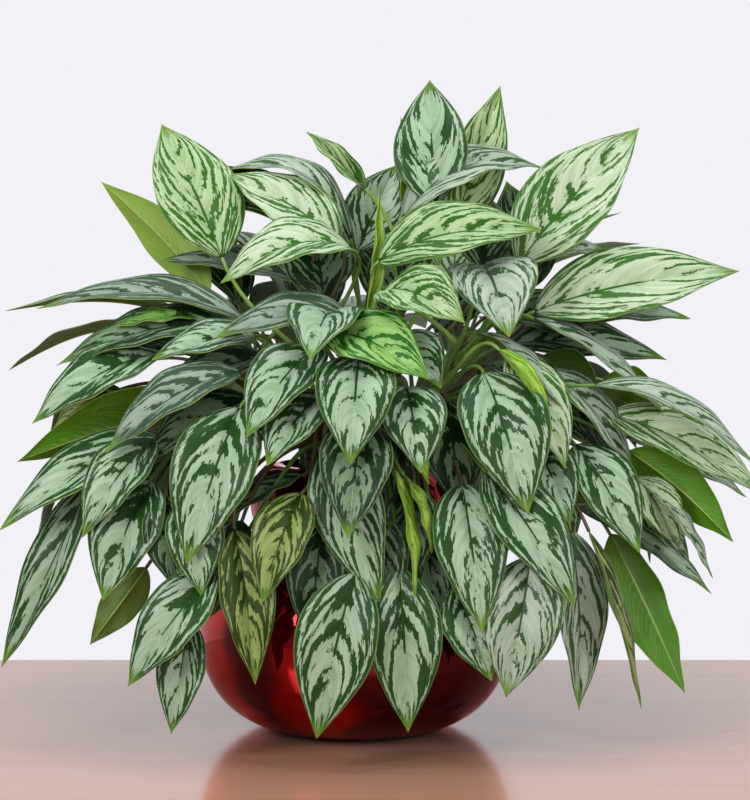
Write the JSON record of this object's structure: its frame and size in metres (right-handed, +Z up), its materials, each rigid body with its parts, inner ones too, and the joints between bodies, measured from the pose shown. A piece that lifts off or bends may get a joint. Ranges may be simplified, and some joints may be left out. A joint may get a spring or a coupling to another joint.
{
  "type": "potted chinese evergreen",
  "caption": "Bushy aglaonema with silver-and-green patterned leaves on several canes, growing in a round red glass vase filled with soil.",
  "frame": {"origin": "centre of the vase's foot, on the surface it stands on", "axes": "+Z up along the vase's axis, -Y towards the front of the plant, +X to the right seen from the front"},
  "size_m": [0.6404, 0.5148, 0.554],
  "materials": {
    "red_glass": "polished blown glass, ruby red, mirror-like",
    "soil": "crumbly dark potting mix of bark and peat",
    "leaf": "satin living leaf, silver-grey centre with dark green margin and flecks, green stalks"
  },
  "bodies": {
    "root": {"vase": "red_glass", "soil": "soil", "cane_top": "leaf", "cane_top_left": "leaf", "cane_top_right": "leaf", "cane_left": "leaf", "cane_left_low": "leaf", "cane_left_front": "leaf", "cane_front_left": "leaf", "cane_front": "leaf", "cane_front_low": "leaf", "cane_right_front": "leaf", "cane_right": "leaf", "cane_right_low": "leaf", "cane_back_right": "leaf", "cane_back_middle_right": "leaf", "cane_back_top": "leaf", "cane_back_middle_left": "leaf", "cane_back_left": "leaf"}
  },
  "joints": []
}
